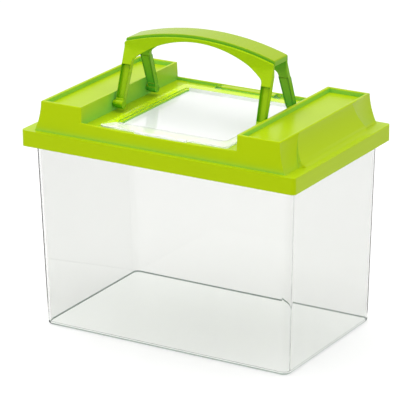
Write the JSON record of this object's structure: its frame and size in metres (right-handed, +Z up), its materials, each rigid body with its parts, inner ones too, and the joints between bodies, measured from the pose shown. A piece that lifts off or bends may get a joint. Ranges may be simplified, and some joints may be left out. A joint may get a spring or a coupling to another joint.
{
  "type": "plastic pet keeper",
  "caption": "Clear tapered tank with a lift-off lid, a clear hinged hatch and a folding two-part carrying handle",
  "frame": {"origin": "centre of the tank's base, on the surface it stands on", "axes": "+Z up, +X along the tank's length, -Y towards the front, where the hatch opens"},
  "size_m": [0.2312, 0.1466, 0.2267],
  "materials": {
    "clear_plastic": "clear polished polystyrene",
    "lid_plastic": "glossy moulded lime polypropylene",
    "hatch_plastic": "clear polished polystyrene",
    "handle_plastic": "glossy moulded lime polypropylene"
  },
  "bodies": {
    "tank": {"tank": "clear_plastic"},
    "lid": {"lid": "lid_plastic"},
    "hatch": {"hatch": "hatch_plastic"},
    "handle_front": {"handle_front": "handle_plastic"},
    "handle_back": {"handle_back": "handle_plastic"}
  },
  "joints": [
    {"name": "lid_lift", "type": "slide", "parent": "tank", "child": "lid", "axis": [0, 0, 1], "range_m": [0, 0.045]},
    {"name": "hatch_hinge", "type": "hinge", "parent": "lid", "child": "hatch", "pos_m": [0, 0.0626, 0.1647], "axis": [-1, 0, 0], "range_deg": [0, 24]},
    {"name": "handle_front_fold", "type": "hinge", "parent": "lid", "child": "handle_front", "pos_m": [0, -0.0235, 0.17], "axis": [1, 0, 0], "range_deg": [0, 108]},
    {"name": "handle_back_fold", "type": "hinge", "parent": "lid", "child": "handle_back", "pos_m": [0, 0.0235, 0.17], "axis": [-1, 0, 0], "range_deg": [0, 108]}
  ]
}
